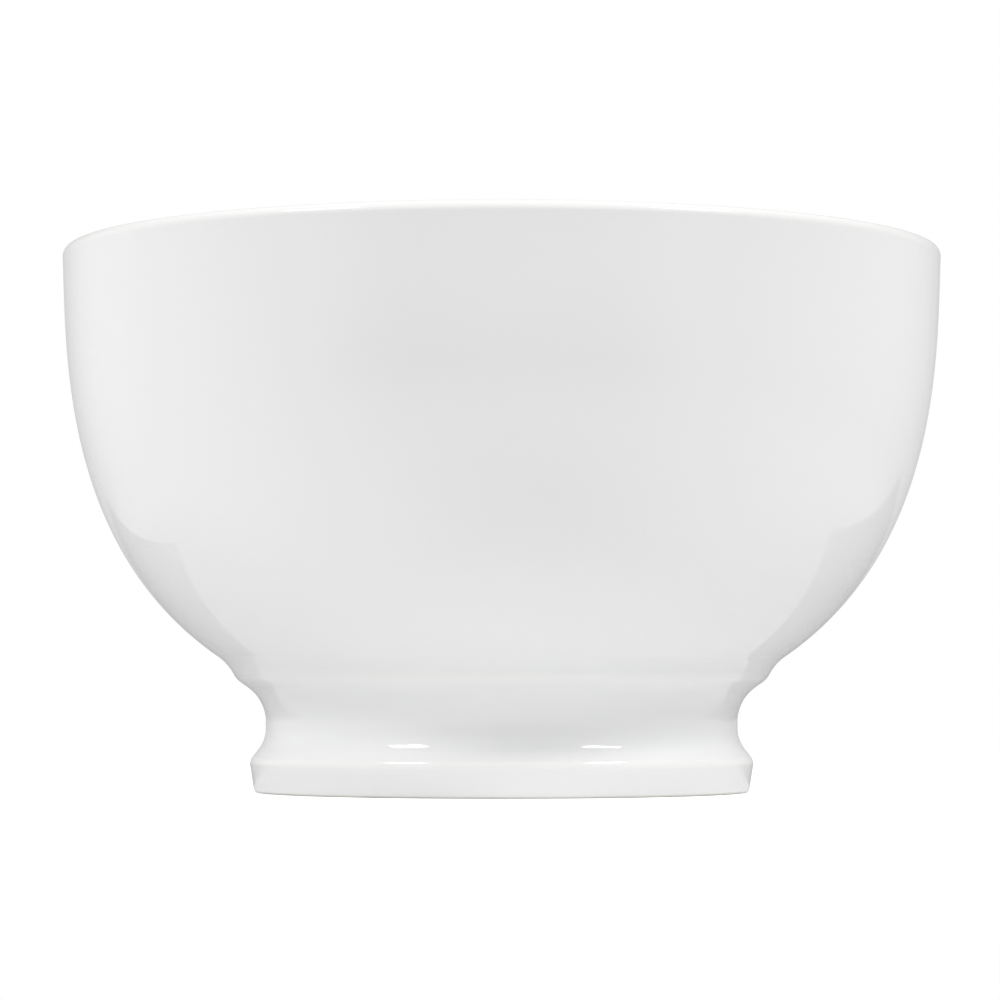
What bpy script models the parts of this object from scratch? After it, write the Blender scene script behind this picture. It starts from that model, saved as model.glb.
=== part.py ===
"""Footed porcelain shaving bowl: a thrown bowl on a turned pedestal foot, joined by a ring of slip.

Units are metres, +Z is up, and the origin is the centre of the ring that the foot stands on.
An outline is drawn at +X like a pen stroke: each stretch starts where the last one ended, along
its heading. A heading is in degrees from straight up, and a positive one leans outwards.
"""
import math

import bpy

MM = 0.001

# The whole bowl
HEIGHT = 85.2 * MM
TURN_STEPS = 60

# Bowl wall, from the lip down to the joint with the foot
LIP_OUTER_RADIUS = 69.15 * MM
LIP_ROUNDING = 1.4 * MM
LIP_LEAN = 2.5
LIP_PULL = 14.5 * MM
JOINT_LEAN = 55.5
JOINT_PULL = 30.0 * MM
UNDERSIDE_RADIUS = 50.0 * MM
FLOOR_THICKNESS = 4.6 * MM
WALL_STEPS = 15
UNDERSIDE_STEPS = 5

# Foot, outer side from the base up
BASE_OUTER_RADIUS = 38.35 * MM
BASE_ROUNDING = 0.6 * MM
BAND_LEAN = 9.0
BAND_LENGTH = 3.8 * MM
FLARE_ROUNDING = 1.6 * MM
FLARE_LEAN = -38.0
FLARE_LENGTH = 1.6 * MM
LOWER_COVE_RADIUS = 5.3 * MM
WAIST_LENGTH = 1.0 * MM
UPPER_COVE_RADIUS = 6.6 * MM
COLLAR_UNDERCUT = 54.5
COLLAR_UNDERCUT_LENGTH = 1.4 * MM
COLLAR_ROLL_RADIUS = 3.9 * MM
COLLAR_LEAN = 28.0

# Foot, inner side
BASE_INNER_RADIUS = 34.8 * MM
HOLLOW_LEAN = -7.0

# Slip between the bowl and the foot
FILLET_RADIUS = 7.5 * MM
FIT_GAP = 0.3 * MM
SEAM_INNER_RADIUS = 33.4 * MM

PORCELAIN = (0.92, 0.925, 0.92, 1.0)
GLAZE_ROUGHNESS = 0.08


class Outline:
    """A stroke of straight and round stretches in the X-Z plane, each tangent to the one before."""

    def __init__(self, radius, height, heading):
        self.points = [(radius, height)]
        self.heading = math.radians(heading)

    def line(self, length):
        r, z = self.points[-1]
        self.points.append((r + length * math.sin(self.heading), z + length * math.cos(self.heading)))

    def arc(self, radius, heading, steps):
        r, z = self.points[-1]
        first, last = self.heading, math.radians(heading)
        side = math.copysign(radius, last - first)
        for step in range(1, steps + 1):
            turn = first + (last - first) * step / steps
            self.points.append((
                r - side * (math.cos(turn) - math.cos(first)),
                z + side * (math.sin(turn) - math.sin(first)),
            ))
        self.heading = last


def foot_outer_side():
    side = Outline(BASE_OUTER_RADIUS, 0.0, 90.0)
    side.arc(BASE_ROUNDING, BAND_LEAN, 2)
    side.line(BAND_LENGTH)
    side.arc(FLARE_ROUNDING, FLARE_LEAN, 4)
    side.line(FLARE_LENGTH)
    side.arc(LOWER_COVE_RADIUS, 0.0, 4)
    side.line(WAIST_LENGTH)
    side.arc(UPPER_COVE_RADIUS, COLLAR_UNDERCUT, 5)
    side.line(COLLAR_UNDERCUT_LENGTH)
    side.arc(COLLAR_ROLL_RADIUS, COLLAR_LEAN, 3)
    return side


def slip_fillet(steps):
    """The hollow fillet of slip, from the collar's top edge to where it meets the bowl's wall."""
    top = foot_outer_side().points[-1]
    fillet = Outline(*top, COLLAR_LEAN)
    fillet.arc(FILLET_RADIUS, JOINT_LEAN, steps)
    return fillet.points


def underside_centre():
    """The centre of the arc that carries the wall on under the bowl, to where it is level."""
    r, z = slip_fillet(1)[-1]
    lean = math.radians(JOINT_LEAN)
    return r - UNDERSIDE_RADIUS * math.cos(lean), z + UNDERSIDE_RADIUS * math.sin(lean)


def below_underside(point):
    """How far a point lies outside the underside's arc."""
    r, z = underside_centre()
    return math.hypot(point[0] - r, point[1] - z) - UNDERSIDE_RADIUS


def point_below_underside(radius, depth):
    r, z = underside_centre()
    return radius, z - math.sqrt((UNDERSIDE_RADIUS + depth) ** 2 - (radius - r) ** 2)


def distance_to_seat(point, heading, depth):
    """How far a line runs from the point before it meets the foot's seat, depth below the underside."""
    r, z = underside_centre()
    to_centre = (r - point[0], z - point[1])
    along = to_centre[0] * math.sin(heading) + to_centre[1] * math.cos(heading)
    across = to_centre[0] * math.cos(heading) - to_centre[1] * math.sin(heading)
    return along - math.sqrt((UNDERSIDE_RADIUS + depth) ** 2 - across ** 2)


def stretch_below_underside(inner, outer, depth, steps):
    """Points along a curve parallel to the underside, from one radius to another."""
    radii = [inner + (outer - inner) * step / steps for step in range(steps + 1)]
    return [point_below_underside(radius, depth) for radius in radii]


def bowl_outer_side():
    """(point, outward normal) pairs from the lip down the wall and under the bowl to the axis."""
    lip_lean, joint_lean = math.radians(LIP_LEAN), math.radians(JOINT_LEAN)
    joint_r, joint_z = slip_fillet(1)[-1]
    lip_z = HEIGHT - LIP_ROUNDING * (1 + math.sin(lip_lean))
    curve = [
        (LIP_OUTER_RADIUS, lip_z),
        (LIP_OUTER_RADIUS - LIP_PULL * math.sin(lip_lean), lip_z - LIP_PULL * math.cos(lip_lean)),
        (joint_r + JOINT_PULL * math.sin(joint_lean), joint_z + JOINT_PULL * math.cos(joint_lean)),
        (joint_r, joint_z),
    ]
    side = []
    for step in range(WALL_STEPS):
        t = step / WALL_STEPS
        weights = ((1 - t) ** 3, 3 * (1 - t) ** 2 * t, 3 * (1 - t) * t ** 2, t ** 3)
        slopes = (-((1 - t) ** 2), (1 - t) * (1 - 3 * t), t * (2 - 3 * t), t ** 2)
        r, z = (sum(w * p[k] for w, p in zip(weights, curve)) for k in (0, 1))
        down_r, down_z = (sum(w * p[k] for w, p in zip(slopes, curve)) for k in (0, 1))
        length = math.hypot(down_r, down_z)
        side.append(((r, z), (-down_z / length, down_r / length)))
    centre_r, centre_z = underside_centre()
    for step in range(UNDERSIDE_STEPS + 1):
        turn = joint_lean + (math.pi / 2 - joint_lean) * step / UNDERSIDE_STEPS
        normal = (math.cos(turn), -math.sin(turn))
        point = (centre_r + UNDERSIDE_RADIUS * normal[0], centre_z + UNDERSIDE_RADIUS * normal[1])
        side.append((point, normal))
    side.append(((0.0, centre_z - UNDERSIDE_RADIUS), (0.0, -1.0)))
    return side


def bowl_inner_side(outer):
    """The outer side moved in by a thickness that grows evenly from the lip to the level floor."""
    points = [point for point, _ in outer]
    runs = [math.dist(a, b) for a, b in zip(points, points[1:-1])]
    inner = []
    for index, (point, normal) in enumerate(outer):
        share = sum(runs[:index]) / sum(runs)
        thickness = 2 * LIP_ROUNDING * (1 - share) + FLOOR_THICKNESS * share
        inner.append((point[0] - thickness * normal[0], point[1] - thickness * normal[1]))
    return inner


def lip_points(outer_edge, steps):
    """The full round of the lip, over its crest from the inner side to the outer side."""
    lip = Outline(*outer_edge, LIP_LEAN)
    lip.arc(LIP_ROUNDING, LIP_LEAN - 180.0, steps)
    return lip.points[-2:0:-1]


def turned_object(name, outline, closed, collection):
    """Screw an outline at +X round the Z axis."""
    mesh = bpy.data.meshes.new(name)
    edges = [(i, i + 1) for i in range(len(outline) - 1)]
    if closed:
        edges.append((len(outline) - 1, 0))
    mesh.from_pydata([(r, 0.0, z) for r, z in outline], edges, [])
    obj = bpy.data.objects.new(name, mesh)
    collection.objects.link(obj)
    screw = obj.modifiers.new("Turning", "SCREW")
    screw.axis = "Z"
    screw.angle = 2 * math.pi
    screw.steps = TURN_STEPS
    screw.render_steps = TURN_STEPS
    screw.use_merge_vertices = True
    screw.merge_threshold = 0.00001
    screw.use_smooth_shade = True
    obj.data.materials.append(glazed_porcelain(name + "_glaze"))
    return obj


def glazed_porcelain(name):
    material = bpy.data.materials.new(name)
    material.use_nodes = True
    shader = material.node_tree.nodes["Principled BSDF"]
    shader.inputs["Base Color"].default_value = PORCELAIN
    shader.inputs["Roughness"].default_value = GLAZE_ROUGHNESS
    shader.inputs["Metallic"].default_value = 0.0
    return material


def make_bowl_body(collection):
    outer = bowl_outer_side()
    inner = bowl_inner_side(outer)
    outline = inner[::-1] + lip_points(outer[0][0], 6) + [point for point, _ in outer]
    return turned_object("bowl_body", outline, False, collection)


def make_luting_seam(collection):
    """The slip fills the space that the foot's top leaves under the bowl, out to the fillet."""
    seam_floor = below_underside(foot_outer_side().points[-1]) - FIT_GAP
    edge = [p for p in slip_fillet(16) if FIT_GAP <= below_underside(p) <= seam_floor]
    bottom = stretch_below_underside(SEAM_INNER_RADIUS, edge[0][0], seam_floor, 4)
    top = stretch_below_underside(SEAM_INNER_RADIUS, edge[-1][0], FIT_GAP, 4)
    return turned_object("luting_seam", edge[-2:0:-1] + bottom[::-1] + top, True, collection)


def make_pedestal_foot(collection):
    outer = foot_outer_side().points
    seat_depth = below_underside(outer[-1])
    inner = Outline(BASE_INNER_RADIUS, 0.0, -90.0)
    inner.arc(BASE_ROUNDING, HOLLOW_LEAN, 2)
    inner.line(distance_to_seat(inner.points[-1], inner.heading, seat_depth))
    seat = stretch_below_underside(inner.points[-1][0], outer[-1][0], seat_depth, 4)
    outline = outer[::-1] + inner.points + seat[1:-1]
    return turned_object("pedestal_foot", outline, True, collection)


def main():
    for obj in list(bpy.data.objects):
        bpy.data.objects.remove(obj)
    collection = bpy.data.collections.new("shaving_bowl")
    bpy.context.scene.collection.children.link(collection)
    make_bowl_body(collection)
    make_luting_seam(collection)
    make_pedestal_foot(collection)


main()
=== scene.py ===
# Glazed porcelain shaving bowl on a pedestal foot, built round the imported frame.
import math

import bpy
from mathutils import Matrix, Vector


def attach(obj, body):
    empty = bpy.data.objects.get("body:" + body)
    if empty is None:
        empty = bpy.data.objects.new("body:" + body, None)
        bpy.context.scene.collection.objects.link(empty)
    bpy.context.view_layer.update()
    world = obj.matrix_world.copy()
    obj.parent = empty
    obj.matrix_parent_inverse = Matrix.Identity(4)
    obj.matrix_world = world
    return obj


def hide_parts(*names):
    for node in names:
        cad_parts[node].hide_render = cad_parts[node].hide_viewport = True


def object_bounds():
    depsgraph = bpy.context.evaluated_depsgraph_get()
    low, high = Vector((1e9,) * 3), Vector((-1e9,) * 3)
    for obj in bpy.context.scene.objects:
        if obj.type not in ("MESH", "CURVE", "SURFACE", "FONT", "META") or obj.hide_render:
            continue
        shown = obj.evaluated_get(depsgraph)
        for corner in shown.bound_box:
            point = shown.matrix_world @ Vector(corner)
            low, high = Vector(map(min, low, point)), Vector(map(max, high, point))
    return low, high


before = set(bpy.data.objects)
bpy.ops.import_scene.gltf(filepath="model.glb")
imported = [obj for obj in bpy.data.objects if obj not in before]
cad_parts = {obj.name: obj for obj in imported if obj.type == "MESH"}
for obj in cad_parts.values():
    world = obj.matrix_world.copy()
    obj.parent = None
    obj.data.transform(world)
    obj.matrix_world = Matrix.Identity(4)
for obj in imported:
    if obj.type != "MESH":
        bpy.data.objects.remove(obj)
cadLow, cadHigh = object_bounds()
mm = 0.001
print("frame loaded:", ", ".join(sorted(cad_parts)))


def linear(hexColour):
    # sRGB hex to the linear values that shaders and lamps take
    channels = [int(hexColour[start:start + 2], 16) / 255 for start in (1, 3, 5)]
    return [c / 12.92 if c <= 0.04045 else ((c + 0.055) / 1.055) ** 2.4 for c in channels] + [1.0]


def addNode(tree, kind, settings=None, inputs=None):
    # an input is a number, a colour or another node's output
    node = tree.nodes.new(kind)
    for name, value in (settings or {}).items():
        setattr(node, name, value)
    for name, value in (inputs or {}).items():
        if isinstance(value, bpy.types.NodeSocket):
            tree.links.new(value, node.inputs[name])
        else:
            node.inputs[name].default_value = value
    return node


# Outlines: a pen that draws straight and round stretches at +X, each tangent to the one before.
# A lean is in degrees from straight up, and a positive one leans outwards.
penStep = 0.9 * mm        # longest stretch of outline between two points
penTurn = 4.0             # and most degrees between two points of an arc


class Pen:
    def __init__(self, radius, height, lean):
        self.points = [(radius, height)]
        self.lean = math.radians(lean)

    def line(self, length):
        r, z = self.points[-1]
        steps = max(1, round(length / penStep))
        for step in range(1, steps + 1):
            run = length * step / steps
            self.points.append((r + run * math.sin(self.lean), z + run * math.cos(self.lean)))

    def arc(self, radius, lean):
        r, z = self.points[-1]
        first, last = self.lean, math.radians(lean)
        side = math.copysign(radius, last - first)
        turn = abs(last - first)
        steps = math.ceil(max(math.degrees(turn) / penTurn, radius * turn / penStep))
        for step in range(1, steps + 1):
            now = first + (last - first) * step / steps
            self.points.append((
                r - side * (math.cos(now) - math.cos(first)),
                z + side * (math.sin(now) - math.sin(first)),
            ))
        self.lean = last


# The foot: a turned ring with a collar, a hollow waist, a flare and a base band
foot = {
    "baseOuterRadius": 38.35 * mm,
    "baseInnerRadius": 34.8 * mm,
    "baseRounding": 0.6 * mm,
    "bandLean": 9.0,
    "bandLength": 3.8 * mm,
    "flareRounding": 1.6 * mm,
    "flareLean": -38.0,
    "flareLength": 1.6 * mm,
    "lowerCove": 5.3 * mm,
    "waistLength": 1.0 * mm,
    "upperCove": 6.6 * mm,
    "undercutLean": 54.5,
    "undercutLength": 1.4 * mm,
    "collarRoll": 3.9 * mm,
    "collarLean": 28.0,
    "hollowLean": -7.0,
    "seatSteps": 16,
    "bareRing": 0.2 * mm,      # the glaze is wiped off below this height
}

# The bowl: a cubic curve for the wall, carried on under the bowl by an arc
bowl = {
    "lipRounding": 1.4 * mm,
    "lipLean": 2.5,
    "lipPull": 14.5 * mm,      # how far each end of the curve keeps its direction
    "jointLean": 55.5,
    "jointPull": 30.0 * mm,
    "undersideRadius": 50.0 * mm,
    "floorThickness": 4.6 * mm,
    "wallSteps": 90,
    "undersideSteps": 36,
    "floorSteps": 12,
}

# The slip that joins them, wiped to a hollow fillet outside and inside the foot
slip = {
    "outerFillet": 7.5 * mm,
    "innerFillet": 2.0 * mm,
    "tuck": 0.25 * mm,       # how far it reaches into the clay on each side
}


def footOuterSide():
    pen = Pen(foot["baseOuterRadius"], 0.0, 90.0)
    pen.arc(foot["baseRounding"], foot["bandLean"])
    pen.line(foot["bandLength"])
    pen.arc(foot["flareRounding"], foot["flareLean"])
    pen.line(foot["flareLength"])
    pen.arc(foot["lowerCove"], 0.0)
    pen.line(foot["waistLength"])
    pen.arc(foot["upperCove"], foot["undercutLean"])
    pen.line(foot["undercutLength"])
    pen.arc(foot["collarRoll"], foot["collarLean"])
    return pen.points


def outerFillet():
    pen = Pen(*footOuterSide()[-1], foot["collarLean"])
    pen.arc(slip["outerFillet"], bowl["jointLean"])
    return pen.points


joint = outerFillet()[-1]      # where the fillet meets the bowl's wall
jointLean = math.radians(bowl["jointLean"])
underCentre = (
    joint[0] - bowl["undersideRadius"] * math.cos(jointLean),
    joint[1] + bowl["undersideRadius"] * math.sin(jointLean),
)


def underBowl(radius, depth):
    # a point that lies depth below the bowl's underside
    reach = bowl["undersideRadius"] + depth
    return radius, underCentre[1] - math.sqrt(reach ** 2 - (radius - underCentre[0]) ** 2)


def bowlOuterSide():
    # (point, outward normal) pairs from the lip down the wall and under the bowl to the axis
    lean = math.radians(bowl["lipLean"])
    lip = (cadHigh.x, cadHigh.z - bowl["lipRounding"] * (1 + math.sin(lean)))
    handles = [
        lip,
        (lip[0] - bowl["lipPull"] * math.sin(lean), lip[1] - bowl["lipPull"] * math.cos(lean)),
        (joint[0] + bowl["jointPull"] * math.sin(jointLean),
         joint[1] + bowl["jointPull"] * math.cos(jointLean)),
        joint,
    ]
    side = []
    for step in range(bowl["wallSteps"]):
        t = step / bowl["wallSteps"]
        weights = ((1 - t) ** 3, 3 * (1 - t) ** 2 * t, 3 * (1 - t) * t ** 2, t ** 3)
        slopes = (-((1 - t) ** 2), (1 - t) * (1 - 3 * t), t * (2 - 3 * t), t ** 2)
        point = [sum(w * h[k] for w, h in zip(weights, handles)) for k in (0, 1)]
        down = [sum(w * h[k] for w, h in zip(slopes, handles)) for k in (0, 1)]
        size = math.hypot(*down)
        side.append((point, (-down[1] / size, down[0] / size)))
    for step in range(bowl["undersideSteps"] + 1):
        turn = jointLean + (math.pi / 2 - jointLean) * step / bowl["undersideSteps"]
        normal = (math.cos(turn), -math.sin(turn))
        side.append(([underCentre[k] + bowl["undersideRadius"] * normal[k] for k in (0, 1)], normal))
    level = side[-1][0]
    for step in range(1, bowl["floorSteps"] + 1):
        side.append(([level[0] * (1 - step / bowl["floorSteps"]), level[1]], (0.0, -1.0)))
    return side


def bowlInnerSide(outer):
    # the outer side moved in by a wall that thickens evenly from the lip to the level floor
    almostLevel = 0.001
    points = [point for point, _ in outer]
    runs = [math.dist(a, b) for a, b in zip(points, points[1:])]
    whole = sum(run for run, (_, normal) in zip(runs, outer) if normal[0] > almostLevel)
    inner = []
    gone = 0.0
    for (point, normal), run in zip(outer, runs + [0.0]):
        share = min(gone / whole, 1.0)
        wall = 2 * bowl["lipRounding"] * (1 - share) + bowl["floorThickness"] * share
        inner.append([point[k] - wall * normal[k] for k in (0, 1)])
        gone += run
    return inner


def bowlOutline():
    outer = bowlOuterSide()
    inner = bowlInnerSide(outer)
    lip = Pen(*outer[0][0], bowl["lipLean"])
    lip.arc(bowl["lipRounding"], bowl["lipLean"] - 180.0)
    return inner[::-1] + lip.points[-2:0:-1] + [point for point, _ in outer]


def toCircle(point, lean, centre, reach):
    # how far a line runs from the point before it meets a circle
    away = (centre[0] - point[0], centre[1] - point[1])
    along = away[0] * math.sin(lean) + away[1] * math.cos(lean)
    across = away[0] * math.cos(lean) - away[1] * math.sin(lean)
    return along - math.sqrt(reach ** 2 - across ** 2)


def seatDepth():
    top = footOuterSide()[-1]
    return math.dist(top, underCentre) - bowl["undersideRadius"]


def footInnerSide():
    pen = Pen(foot["baseInnerRadius"], 0.0, -90.0)
    pen.arc(foot["baseRounding"], foot["hollowLean"])
    reach = bowl["undersideRadius"] + seatDepth()
    pen.line(toCircle(pen.points[-1], pen.lean, underCentre, reach))
    return pen.points


def alongUnderside(start, end, depth):
    steps = foot["seatSteps"]
    return [underBowl(start + (end - start) * step / steps, depth) for step in range(steps + 1)]


def footOutline():
    outer, inner = footOuterSide(), footInnerSide()
    seat = alongUnderside(inner[-1][0], outer[-1][0], seatDepth())
    return outer[::-1] + inner + seat[1:-1]


def innerFillet():
    # a round hollow that touches the foot's inner wall and the bowl's underside
    wall = footInnerSide()
    lean = math.radians(foot["hollowLean"])
    size = slip["innerFillet"]
    start = (wall[-2][0] - size * math.cos(lean), wall[-2][1] + size * math.sin(lean))
    run = toCircle(start, lean, underCentre, bowl["undersideRadius"] + size)
    centre = (start[0] + run * math.sin(lean), start[1] + run * math.cos(lean))
    lowTurn = math.degrees(lean)
    up = (underCentre[0] - centre[0], underCentre[1] - centre[1])
    highTurn = -math.degrees(math.atan2(up[1], up[0]))
    pen = Pen(centre[0] + size * math.cos(lean), centre[1] - size * math.sin(lean), lowTurn)
    pen.arc(size, highTurn)
    return pen.points


def slipOutline():
    outside, inside = outerFillet(), innerFillet()
    low = alongUnderside(inside[0][0] + slip["tuck"], outside[0][0] - slip["tuck"],
                         seatDepth() + slip["tuck"])
    high = alongUnderside(inside[-1][0], outside[-1][0] - slip["tuck"], -slip["tuck"])
    return outside[::-1] + low[::-1] + inside + high


# How the glaze settled in the kiln, which also sets the painted shade in the hollows
settlingAndPaintedShade = {
    "fullBend": 2.4 * mm,        # a hollow rounded tighter than this pools the most and gets the darkest painted shade
    "leastStep": 0.05 * mm,
}


def glazePoolingAndPaintedShade(outline, closed):
    # glaze runs thin over what bulges and pools in what is hollow, and the hollows also get painted shade:
    # 0 thin, 0.5 even, 1 pooled and shaded
    count = len(outline)
    poolAndShadeValues = []
    for index in range(count):
        a, b, c = (outline[(index + k) % count] for k in (-1, 0, 1))
        if not closed and index in (0, count - 1):
            poolAndShadeValues.append(0.5)
            continue
        turn = math.atan2(c[1] - b[1], c[0] - b[0]) - math.atan2(b[1] - a[1], b[0] - a[0])
        turn = (turn + math.pi) % (2 * math.pi) - math.pi
        bend = turn / max((math.dist(a, b) + math.dist(b, c)) / 2, settlingAndPaintedShade["leastStep"])
        poolAndShadeValues.append(min(max(0.5 + bend * settlingAndPaintedShade["fullBend"] / 2, 0.0), 1.0))
    return poolAndShadeValues


# Turning: the outline is swept round the axis, and the clay keeps a slight unevenness
wheel = {
    "segments": 256,
    "sweepRadius": 100 * mm,   # of the circle that carries the outline round
    "unevenness": 0.02 * mm,
    "unevenSize": 22 * mm,
    "mergeDistance": 0.002 * mm,    # closes the poles
    "sharpAbove": 35.0,        # degrees between faces
}


def wheelTree():
    tree = bpy.data.node_groups.new("turnedOnWheel", "GeometryNodeTree")
    face = tree.interface
    face.new_socket("Geometry", in_out="INPUT", socket_type="NodeSocketGeometry")
    for name, kind in (("Segments", "NodeSocketInt"), ("Sweep Radius", "NodeSocketFloat"),
                       ("Unevenness", "NodeSocketFloat"), ("Uneven Size", "NodeSocketFloat"),
                       ("Merge Distance", "NodeSocketFloat"), ("Bare Height", "NodeSocketFloat"),
                       ("Glazed", "NodeSocketMaterial"), ("Bare", "NodeSocketMaterial")):
        face.new_socket(name, in_out="INPUT", socket_type=kind)
    face.new_socket("Geometry", in_out="OUTPUT", socket_type="NodeSocketGeometry")
    given = addNode(tree, "NodeGroupInput").outputs
    profile = addNode(tree, "GeometryNodeMeshToCurve", inputs={"Mesh": given["Geometry"]})
    circle = addNode(tree, "GeometryNodeCurvePrimitiveCircle",
                     inputs={"Resolution": given["Segments"], "Radius": given["Sweep Radius"]})
    sweep = addNode(tree, "GeometryNodeCurveToMesh",
                    inputs={"Curve": circle.outputs["Curve"], "Profile Curve": profile.outputs["Curve"]})
    merged = addNode(tree, "GeometryNodeMergeByDistance",
                     inputs={"Geometry": sweep.outputs["Mesh"], "Distance": given["Merge Distance"]})
    place = addNode(tree, "GeometryNodeInputPosition")
    pitch = addNode(tree, "ShaderNodeMath", {"operation": "DIVIDE"}, {0: 1.0, 1: given["Uneven Size"]})
    lumps = addNode(tree, "ShaderNodeTexNoise",
                    inputs={"Vector": place.outputs["Position"], "Scale": pitch.outputs[0], "Detail": 1.0})
    centred = addNode(tree, "ShaderNodeMath", {"operation": "SUBTRACT"},
                      {0: lumps.outputs[0], 1: 0.5})
    push = addNode(tree, "ShaderNodeMath", {"operation": "MULTIPLY"},
                   {0: centred.outputs[0], 1: given["Unevenness"]})
    normal = addNode(tree, "GeometryNodeInputNormal")
    offset = addNode(tree, "ShaderNodeVectorMath", {"operation": "SCALE"},
                     {"Vector": normal.outputs["Normal"], "Scale": push.outputs[0]})
    moved = addNode(tree, "GeometryNodeSetPosition",
                    inputs={"Geometry": merged.outputs["Geometry"], "Offset": offset.outputs[0]})
    smooth = addNode(tree, "GeometryNodeSetShadeSmooth", inputs={"Geometry": moved.outputs["Geometry"]})
    plain = addNode(tree, "GeometryNodeRealizeInstances", inputs={"Geometry": smooth.outputs["Geometry"]})
    glazed = addNode(tree, "GeometryNodeSetMaterial",
                     inputs={"Geometry": plain.outputs["Geometry"], "Material": given["Glazed"]})
    height = addNode(tree, "ShaderNodeSeparateXYZ", inputs={"Vector": place.outputs["Position"]})
    low = addNode(tree, "FunctionNodeCompare", {"operation": "LESS_THAN"},
                  {"A": height.outputs["Z"], "B": given["Bare Height"]})
    wiped = addNode(tree, "GeometryNodeSetMaterial",
                    inputs={"Geometry": glazed.outputs["Geometry"], "Selection": low.outputs["Result"],
                            "Material": given["Bare"]})
    addNode(tree, "NodeGroupOutput", inputs={"Geometry": wiped.outputs["Geometry"]})
    return tree


def turnPiece(name, outline, closed, glazed, bare=None, bareHeight=-1.0):
    # the sweep wants the outline flat in X-Y, measured from the circle that it follows, upside down
    count = len(outline)
    edges = [(k, k + 1) for k in range(count - 1)] + ([(count - 1, 0)] if closed else [])
    mesh = bpy.data.meshes.new(name + "Outline")
    mesh.from_pydata([(r - wheel["sweepRadius"], -z, 0.0) for r, z in outline], edges, [])
    # glaze pooling at each point, which also sets the painted shade in the hollows
    poolAndShadeValues = mesh.attributes.new("glazePoolAndPaintedShade", "FLOAT", "POINT")
    poolAndShadeValues.data.foreach_set("value", glazePoolingAndPaintedShade(outline, closed))
    blank = bpy.data.objects.new(name + "Outline", mesh)
    bpy.context.scene.collection.objects.link(blank)
    turning = blank.modifiers.new("Turning", "NODES")
    turning.node_group = turnedOnWheel
    sockets = {item.name: item.identifier for item in turnedOnWheel.interface.items_tree
               if item.item_type == "SOCKET" and item.in_out == "INPUT"}
    values = {
        "Segments": wheel["segments"],
        "Sweep Radius": wheel["sweepRadius"],
        "Unevenness": wheel["unevenness"],
        "Uneven Size": wheel["unevenSize"],
        "Merge Distance": wheel["mergeDistance"],
        "Bare Height": bareHeight,
        "Glazed": glazed,
        "Bare": bare,
    }
    for socket, value in values.items():
        turning[sockets[socket]] = value
    graph = bpy.context.evaluated_depsgraph_get()
    turned = bpy.data.meshes.new_from_object(blank.evaluated_get(graph))
    turned.name = name
    bpy.data.objects.remove(blank)
    turned.set_sharp_from_angle(angle=math.radians(wheel["sharpAbove"]))
    piece = bpy.data.objects.new(name, turned)
    bpy.context.scene.collection.objects.link(piece)
    return piece


turnedOnWheel = wheelTree()


def newMaterial(name):
    material = bpy.data.materials.new(name)
    material.use_nodes = True
    return material, material.node_tree, material.node_tree.nodes["Principled BSDF"]


def waves(tree, place, size, detail=2.0, roughness=0.5):
    # soft noise whose lumps are about as big as the size
    return addNode(tree, "ShaderNodeTexNoise",
                   inputs={"Vector": place, "Scale": 1.0 / size, "Detail": detail, "Roughness": roughness})


# Hard-paste porcelain dipped in clear feldspar glaze and fired: a bright, faintly cool white with
# a wet gloss. The surface ripples a little, and the glaze is whiter on edges and greyer in hollows,
# partly from pooled glaze and partly as painted shade.
glaze = {
    "even": "#F5F5F5",
    "thin": "#F7F7F6",
    # the colour where glaze pools, darker also as painted shade in the hollows
    "pooledAndPaintedShade": "#F2F3F3",
    "clouds": 38 * mm,            # width of the faint clouds in the white
    "cloudShare": 0.10,
    "roughness": (0.045, 0.085),
    "smear": 18 * mm,             # how far apart the glossier and duller patches are
    "smearRange": (0.3, 0.7),
    "ior": 1.5,
    "ripple": 9 * mm,             # slow ripple left by the dip
    "rippleDepth": 0.006 * mm,
    "peel": 1.6 * mm,             # fine orange peel
    "peelDepth": 0.0006 * mm,
}

# Bare porcelain body where the glaze was wiped off the ring that stands on the kiln shelf: a dry,
# warm off-white with a fine grit, rubbed a little grey
bisque = {
    "clean": "#ECEAE4",
    "rubbed": "#D8D5CE",
    "rub": 6 * mm,                # size of the rubbed patches
    "rubRange": (0.48, 0.72),
    "roughness": 0.78,
    "ior": 1.5,
    "grit": 0.35 * mm,            # real grit is finer, drawn as coarse as it shows
    "gritDepth": 0.012 * mm,
}


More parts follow.
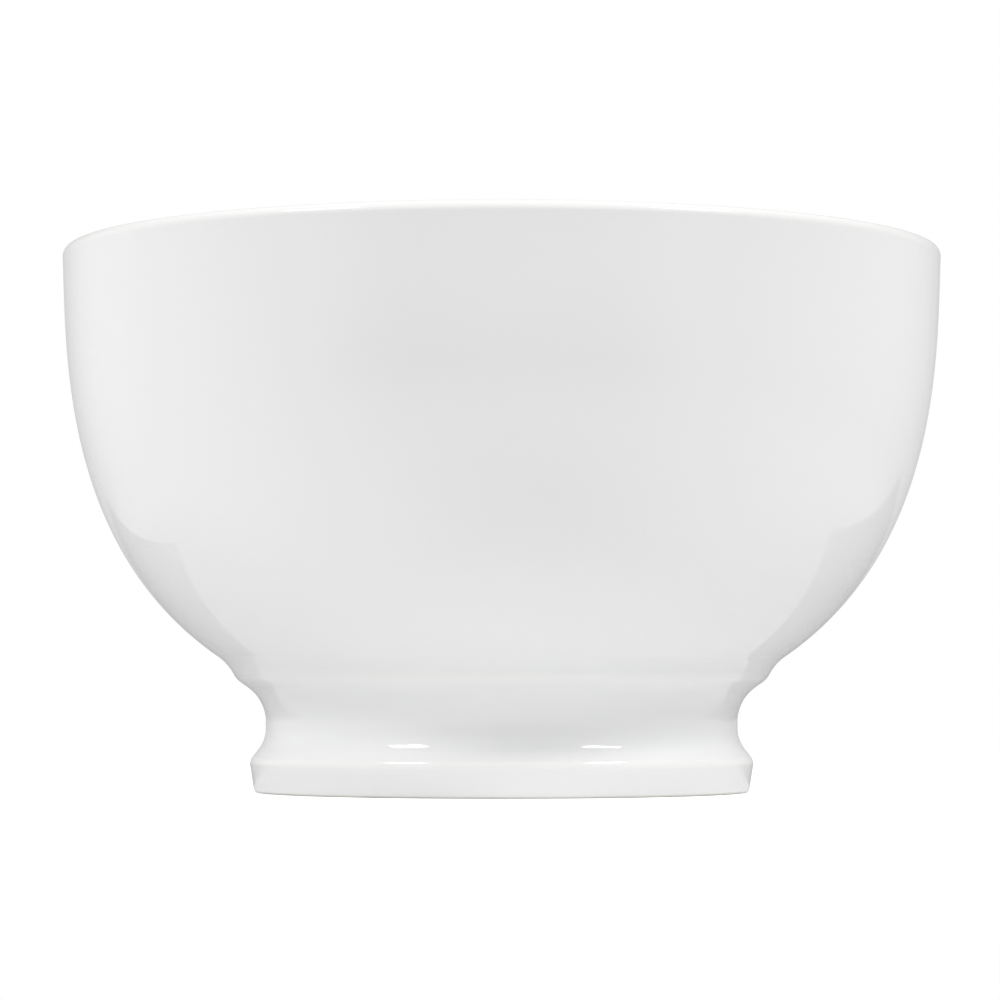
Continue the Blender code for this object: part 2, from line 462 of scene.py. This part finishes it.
def glazedPorcelain():
    material, tree, shader = newMaterial("glazedHardPastePorcelain")
    place = addNode(tree, "ShaderNodeTexCoord").outputs["Object"]
    # how far the glaze pooled here; the darker pooled colour also paints shade into the hollows
    depth = addNode(tree, "ShaderNodeAttribute", {"attribute_name": "glazePoolAndPaintedShade"}).outputs["Fac"]
    clouds = waves(tree, place, glaze["clouds"]).outputs["Fac"]
    centred = addNode(tree, "ShaderNodeMath", {"operation": "MULTIPLY_ADD"},
                      {0: clouds, 1: 2 * glaze["cloudShare"], 2: -glaze["cloudShare"]})
    amount = addNode(tree, "ShaderNodeMath", {"operation": "ADD"}, {0: depth, 1: centred.outputs[0]})
    ramp = addNode(tree, "ShaderNodeValToRGB", inputs={"Fac": amount.outputs[0]})
    stops = ramp.color_ramp.elements
    stops[0].color = linear(glaze["thin"])
    stops[1].color = linear(glaze["pooledAndPaintedShade"])
    middle = stops.new(0.5)
    middle.color = linear(glaze["even"])
    tree.links.new(ramp.outputs["Color"], shader.inputs["Base Color"])
    low, high = glaze["roughness"]
    least, most = glaze["smearRange"]
    smear = waves(tree, place, glaze["smear"])
    gloss = addNode(tree, "ShaderNodeMapRange",
                    inputs={"Value": smear.outputs["Fac"], "From Min": least, "From Max": most,
                            "To Min": low, "To Max": high})
    tree.links.new(gloss.outputs["Result"], shader.inputs["Roughness"])
    shader.inputs["IOR"].default_value = glaze["ior"]
    ripple = addNode(tree, "ShaderNodeBump",
                     inputs={"Height": waves(tree, place, glaze["ripple"], detail=1.0).outputs["Fac"],
                             "Distance": glaze["rippleDepth"]})
    peel = addNode(tree, "ShaderNodeBump",
                   inputs={"Height": waves(tree, place, glaze["peel"], detail=1.0).outputs["Fac"],
                           "Distance": glaze["peelDepth"], "Normal": ripple.outputs["Normal"]})
    tree.links.new(peel.outputs["Normal"], shader.inputs["Normal"])
    return material


def wipedBisque():
    material, tree, shader = newMaterial("bareVitrifiedPorcelain")
    place = addNode(tree, "ShaderNodeTexCoord").outputs["Object"]
    least, most = bisque["rubRange"]
    patches = waves(tree, place, bisque["rub"], detail=4.0, roughness=0.65)
    rub = addNode(tree, "ShaderNodeMapRange",
                  inputs={"Value": patches.outputs["Fac"], "From Min": least, "From Max": most})
    colour = addNode(tree, "ShaderNodeMix", {"data_type": "RGBA"},
                     {0: rub.outputs["Result"], 6: linear(bisque["clean"]), 7: linear(bisque["rubbed"])})
    tree.links.new(colour.outputs[2], shader.inputs["Base Color"])
    shader.inputs["Roughness"].default_value = bisque["roughness"]
    shader.inputs["IOR"].default_value = bisque["ior"]
    grains = waves(tree, place, bisque["grit"], detail=3.0, roughness=0.7)
    grit = addNode(tree, "ShaderNodeBump",
                   inputs={"Height": grains.outputs["Fac"], "Distance": bisque["gritDepth"]})
    tree.links.new(grit.outputs["Normal"], shader.inputs["Normal"])
    return material


porcelain = glazedPorcelain()
bareRing = wipedBisque()
print("materials mixed: glazed porcelain and the bare foot ring")

bowlBody = turnPiece("bowlBody", bowlOutline(), False, porcelain)
lutingSlip = turnPiece("lutingSlip", slipOutline(), True, porcelain)
pedestalFoot = turnPiece("pedestalFoot", footOutline(), True, porcelain, bareRing, foot["bareRing"])
for piece, node in ((bowlBody, "bowl_body"), (lutingSlip, "luting_seam"), (pedestalFoot, "pedestal_foot")):
    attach(piece, "root")
    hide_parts(node)
    print("turned:", piece.name, len(piece.data.polygons), "faces")


# The stage: a pale floor in a white tent with two lamps, in metres. Brightness 1 shows as white.
studio = {
    "floorColour": "#E9E9E9",
    "floorRoughness": 0.9,
    "floorSize": 4.0,
    "floorHeight": -0.01 * mm,    # just under the slightly uneven foot ring
    "floorGlow": 0.04,            # the table is lit a little from below
    "floorWhite": 0.48,           # and shown lighter than it lights the bowl
    "fade": (0.12, 0.40),         # how far out the floor fades into the tent
    # the darker room behind the bowl: left end, right end and y of its near and far edges
    "shadeFront": (-115 * mm, 125 * mm, 12 * mm),
    "shadeBack": (-270 * mm, 330 * mm, 400 * mm),
    "shadeHeight": 0.2 * mm,      # it lies just over the floor
    "shade": 0.42,                # and this is its brightness
    "around": 0.43,               # brightness of the tent where nothing else is added
    "cameraSide": -0.26 * mm,
    "cameraDistance": 0.614,
    "eyeHeight": 16.4 * mm,
    "pitch": 2.76,                # degrees up from level
    "lens": 140.04,               # focal length in millimetres
}

# Lighter and darker parts of the tent: the way to the middle of each, how much it adds, and the
# cosines between which it fades in
tent = {
    "left": ((-1.0, 0.0, 0.0), 0.46, 0.40, 0.95),
    "right": ((1.0, 0.0, 0.0), 0.20, 0.40, 0.95),
    "above": ((0.0, -0.60, 0.80), 0.42, 0.30, 0.95),
    "back": ((0.0, 1.0, 0.0), 0.15, 0.00, 0.80),
    "front": ((0.0, -0.97, -0.24), -0.42, 0.66, 0.96),
}

# Each lamp: degrees round from the camera's side (right is positive), degrees up, distance,
# width, height, and the brightness of its face
lamps = {
    "lampLeft": (-54, 44, 1.1, 0.30, 0.18, 14.5),
    "lampRight": (60, 47, 1.1, 0.30, 0.18, 23.0),
}


def flatSheet(name, front, back, height, material):
    # front and back are the two level edges: left end, right end and y
    frontLeft, frontRight, frontY = front
    backLeft, backRight, backY = back
    mesh = bpy.data.meshes.new(name)
    points = [
        (frontLeft, frontY, height),
        (frontRight, frontY, height),
        (backRight, backY, height),
        (backLeft, backY, height),
    ]
    mesh.from_pydata(points, [], [(0, 1, 2, 3)])
    mesh.materials.append(material)
    sheet = bpy.data.objects.new(name, mesh)
    bpy.context.scene.collection.objects.link(sheet)
    return sheet


def makeFloor():
    material, tree, shader = newMaterial("paleMattePaper")
    shader.inputs["Base Color"].default_value = linear(studio["floorColour"])
    shader.inputs["Roughness"].default_value = studio["floorRoughness"]
    shader.inputs["Emission Color"].default_value = linear("#FFFFFF")
    shader.inputs["Emission Strength"].default_value = studio["floorGlow"]
    place = addNode(tree, "ShaderNodeTexCoord").outputs["Object"]
    away = addNode(tree, "ShaderNodeVectorMath", {"operation": "LENGTH"}, {0: place})
    near, far = studio["fade"]
    fade = addNode(tree, "ShaderNodeMapRange", {"interpolation_type": "SMOOTHSTEP"},
                   {"Value": away.outputs["Value"], "From Min": near, "From Max": far})
    seen = addNode(tree, "ShaderNodeLightPath").outputs["Is Camera Ray"]
    lift = addNode(tree, "ShaderNodeMath", {"operation": "MULTIPLY"}, {0: seen, 1: studio["floorWhite"]})
    lighter = addNode(tree, "ShaderNodeEmission", inputs={"Strength": lift.outputs[0]})
    lifted = addNode(tree, "ShaderNodeAddShader",
                     inputs={0: shader.outputs["BSDF"], 1: lighter.outputs["Emission"]})
    white = addNode(tree, "ShaderNodeEmission")
    clear = addNode(tree, "ShaderNodeBsdfTransparent")
    beyond = addNode(tree, "ShaderNodeMixShader",
                     inputs={0: seen, 1: clear.outputs["BSDF"], 2: white.outputs["Emission"]})
    mixed = addNode(tree, "ShaderNodeMixShader",
                    inputs={0: fade.outputs["Result"], 1: lifted.outputs[0], 2: beyond.outputs[0]})
    tree.links.new(mixed.outputs["Shader"], tree.nodes["Material Output"].inputs["Surface"])
    half = studio["floorSize"] / 2
    flatSheet("floor", (-half, half, -half), (-half, half, half), studio["floorHeight"], material)


def makeShade():
    # only mirrored in the glaze: the room behind the table is darker than the table
    material, tree, _ = newMaterial("darkRoom")
    grey = addNode(tree, "ShaderNodeEmission", inputs={"Strength": studio["shade"]})
    tree.links.new(grey.outputs["Emission"], tree.nodes["Material Output"].inputs["Surface"])
    sheet = flatSheet("roomBehind", studio["shadeFront"], studio["shadeBack"],
                      studio["shadeHeight"], material)
    sheet.visible_camera = False
    sheet.visible_diffuse = False
    sheet.visible_shadow = False
    sheet.visible_transmission = False


def makeLamps():
    target = Vector((0.0, 0.0, cadHigh.z / 2))
    for name, (turn, rise, away, width, height, brightness) in lamps.items():
        data = bpy.data.lights.new(name, "AREA")
        data.shape = "RECTANGLE"
        data.size = width
        data.size_y = height
        data.energy = math.pi * width * height * brightness      # a bigger face stays as bright
        lamp = bpy.data.objects.new(name, data)
        turn, rise = math.radians(turn), math.radians(rise)
        back = Vector((math.sin(turn) * math.cos(rise), -math.cos(turn) * math.cos(rise), math.sin(rise)))
        lamp.location = target + away * back
        lamp.rotation_euler = back.to_track_quat("Z", "Y").to_euler()
        lamp.visible_camera = False
        bpy.context.scene.collection.objects.link(lamp)


def makeWorld():
    # the camera sees pure white round the bowl, which stands in the tent's uneven light
    world = bpy.data.worlds.new("whiteTent")
    world.use_nodes = True
    bpy.context.scene.world = world
    tree = world.node_tree
    background = tree.nodes["Background"]
    background.inputs["Color"].default_value = linear("#FFFFFF")
    way = addNode(tree, "ShaderNodeTexCoord").outputs["Generated"]
    total = studio["around"]
    for middle, extra, start, full in tent.values():
        towards = addNode(tree, "ShaderNodeVectorMath", {"operation": "DOT_PRODUCT"}, {0: way, 1: middle})
        part = addNode(tree, "ShaderNodeMapRange", {"interpolation_type": "SMOOTHSTEP"},
                       {"Value": towards.outputs["Value"], "From Min": start, "From Max": full,
                        "To Max": extra})
        total = addNode(tree, "ShaderNodeMath", {"operation": "ADD"},
                        {0: part.outputs["Result"], 1: total}).outputs[0]
    seen = addNode(tree, "ShaderNodeLightPath").outputs["Is Camera Ray"]
    strength = addNode(tree, "ShaderNodeMix", inputs={0: seen, 2: total, 3: 1.0})
    tree.links.new(strength.outputs[0], background.inputs["Strength"])


def makeCamera():
    data = bpy.data.cameras.new("camera")
    data.lens = studio["lens"]
    camera = bpy.data.objects.new("camera", data)
    camera.location = (studio["cameraSide"], -studio["cameraDistance"], studio["eyeHeight"])
    camera.rotation_euler = (math.radians(90 + studio["pitch"]), 0.0, 0.0)
    bpy.context.scene.collection.objects.link(camera)
    bpy.context.scene.camera = camera


makeFloor()
makeShade()
makeLamps()
makeWorld()
makeCamera()
bpy.context.scene.view_settings.view_transform = "Standard"
print("stage set: floor, lamps, white surroundings and camera")
